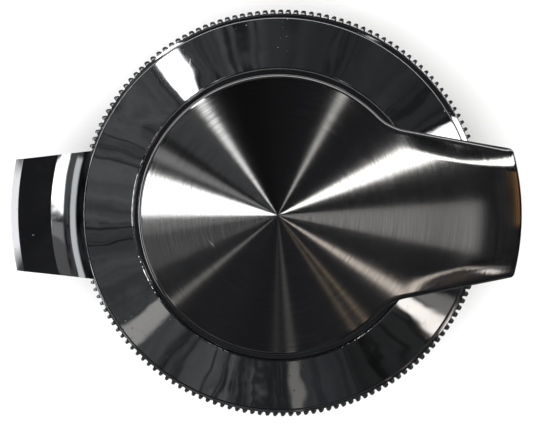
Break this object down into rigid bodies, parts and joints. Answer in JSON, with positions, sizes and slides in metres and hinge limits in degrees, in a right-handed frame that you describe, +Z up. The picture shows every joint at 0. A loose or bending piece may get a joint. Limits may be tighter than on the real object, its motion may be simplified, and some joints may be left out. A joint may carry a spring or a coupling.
{
  "type": "deck fill cap",
  "caption": "Hinged round deck filler: knurled screw-in ring with threaded neck, mirror lid with hinge tab, and a brushed lever that turns a latch bar.",
  "frame": {"origin": "on the fill axis in the plane of the deck, where the ring's underside meets it", "axes": "+Z up out of the deck along the fill axis, +X towards the tip of the lever, the hinge at -X"},
  "size_m": [0.1134, 0.0902, 0.0455],
  "materials": {
    "chrome_plate": "mirror chrome plate on cast brass",
    "brushed_chrome": "circular brushed, polished edges",
    "cast_brass": "turned cast brass",
    "stainless": "plain stainless steel",
    "spring_steel": "stainless spring wire",
    "bearing_bronze": "oiled sintered bronze",
    "black_rubber": "fuel-proof nitrile rubber",
    "white_nylon": "turned nylon"
  },
  "bodies": {
    "base": {"base_ring": "chrome_plate", "threaded_neck": "cast_brass", "neck_seal": "black_rubber", "deck_seal": "black_rubber", "strike_ring": "stainless", "strike_screws": "stainless", "hinge_pin": "stainless", "hinge_clips": "spring_steel", "hinge_spring": "spring_steel"},
    "lid": {"lid_shell": "chrome_plate", "hinge_bushes": "bearing_bronze", "lid_gasket": "black_rubber", "gasket_retainer": "stainless", "retainer_screws": "stainless", "spindle_bush": "bearing_bronze", "spindle_o_ring": "black_rubber", "wear_ring": "white_nylon"},
    "handle": {"handle": "brushed_chrome", "spindle": "stainless", "spindle_screws": "stainless", "stop_pin": "stainless", "wave_washer": "spring_steel", "latch_bar": "stainless", "latch_washer": "stainless", "latch_nut": "stainless"}
  },
  "joints": [
    {"name": "lid_hinge", "type": "hinge", "parent": "base", "child": "lid", "pos_m": [-0.0541, 0, 0.007], "axis": [0, -1, 0], "range_deg": [0, 105], "stiffness_Nm_per_rad": 0.057, "springref_deg": -51.57, "deforming": ["hinge_spring"]},
    {"name": "handle_turn", "type": "hinge", "parent": "lid", "child": "handle", "pos_m": [0, 0, 0.018], "axis": [0, 0, 1], "range_deg": [-90, 0]}
  ]
}
